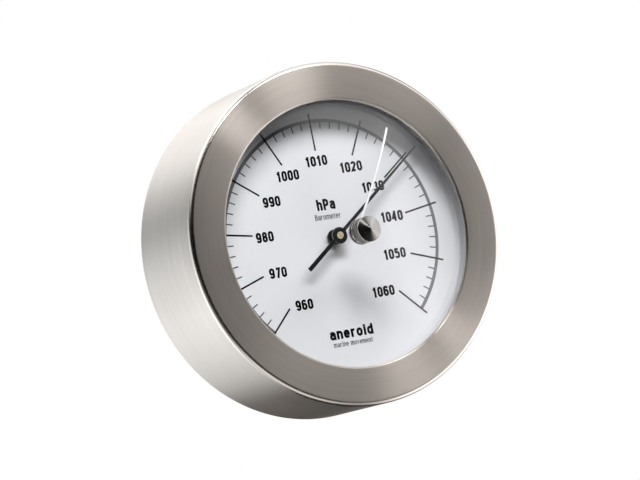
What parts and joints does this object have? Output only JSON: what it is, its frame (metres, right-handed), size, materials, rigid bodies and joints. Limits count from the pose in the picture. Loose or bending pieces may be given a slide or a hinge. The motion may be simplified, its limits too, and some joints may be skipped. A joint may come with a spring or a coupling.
{
  "type": "aneroid barometer",
  "caption": "Round wall barometer in a brushed steel drum case, with a domed glass, a pressure pointer on a printed dial and a set hand turned by a front knob.",
  "frame": {"origin": "centre of the back face of the case, on the wall", "axes": "+Y out of the back towards the wall, along the axis of the drum and the pointer; the dial faces -Y; +Z towards the top of the scale; +X to the viewer's right"},
  "size_m": [0.125, 0.059, 0.125],
  "materials": {
    "case_steel": "circular brushed stainless steel",
    "glass": "clear polished",
    "gasket_rubber": "matt black",
    "white_plastic": "moulded, satin",
    "dial_white": "white enamel with black print",
    "black_plastic": "moulded, fine texture",
    "spring_steel": "tempered, blue-grey",
    "frame_brass": "stamped and brushed",
    "screw_steel": "nickel plated, turned",
    "bush_brass": "turned",
    "pointer_black": "black lacquer, semi-matt",
    "boss_black": "black, satin",
    "capsule_metal": "nickel silver, bright",
    "knob_nickel": "nickel plated, milled grip and turned face",
    "washer_fibre": "vulcanised fibre",
    "hand_white": "white lacquer"
  },
  "bodies": {
    "case": {"case_shell": "case_steel", "glass": "glass", "glass_gasket": "gasket_rubber", "spacer_ring": "white_plastic", "dial_plate": "dial_white", "rear_cover": "black_plastic", "snap_ring": "spring_steel", "movement_plate": "frame_brass", "movement_screws": "screw_steel", "pillars": "frame_brass", "rear_bridge": "frame_brass", "front_bridge": "frame_brass", "bridge_screws": "screw_steel", "arbor_bushes": "bush_brass", "hairspring": "spring_steel", "hairspring_stud": "bush_brass", "capsule_lower": "capsule_metal", "capsule_nut": "bush_brass", "adjusting_leaf": "spring_steel", "leaf_screws": "screw_steel", "rocker_posts": "frame_brass", "pivot_screws": "screw_steel", "glass_bush": "bush_brass"},
    "pointer": {"arbor": "screw_steel", "pointer_blade": "pointer_black", "pointer_boss": "boss_black", "pointer_collar": "boss_black", "pointer_bush": "bush_brass", "hairspring_collet": "bush_brass"},
    "rocker": {"rocker_shaft": "screw_steel", "rocker_finger": "bush_brass", "long_arm": "screw_steel", "chain_pin": "screw_steel", "counterweight": "bush_brass", "chain": "spring_steel"},
    "capsule_top": {"capsule_upper": "capsule_metal", "capsule_post": "bush_brass"},
    "set_hand": {"knob": "knob_nickel", "set_hand_shaft": "bush_brass", "friction_washer": "washer_fibre", "set_hand": "hand_white"},
    "adjuster": {"adjusting_screw": "screw_steel"}
  },
  "joints": [
    {"name": "pointer_turn", "type": "hinge", "parent": "case", "child": "pointer", "pos_m": [0, -0.0295, 0], "axis": [0, 1, 0], "range_deg": [-202.2, 94.8], "deforming": ["hairspring"]},
    {"name": "rocker_pivot", "type": "hinge", "parent": "case", "child": "rocker", "pos_m": [0, -0.014, -0.0153], "axis": [1, 0, 0], "range_deg": [-9, 18.5], "deforming": ["chain"]},
    {"name": "capsule_flex", "type": "slide", "parent": "case", "child": "capsule_top", "axis": [0, 1, 0], "range_m": [-0.00042, 0.0002]},
    {"name": "set_hand_turn", "type": "hinge", "parent": "case", "child": "set_hand", "pos_m": [-0.0003, -0.048, -0.0013], "axis": [0, 1, 0], "continuous": true},
    {"name": "adjusting_screw_turn", "type": "hinge", "parent": "case", "child": "adjuster", "pos_m": [0, -0.003, -0.03], "axis": [0, 1, 0], "range_deg": [-360, 360]}
  ],
  "couplings": [
    {"joint": "rocker_pivot", "follows": "pointer_turn", "ratio": -0.089286},
    {"joint": "capsule_flex", "follows": "pointer_turn", "m_per_rad": 0.00011607}
  ]
}
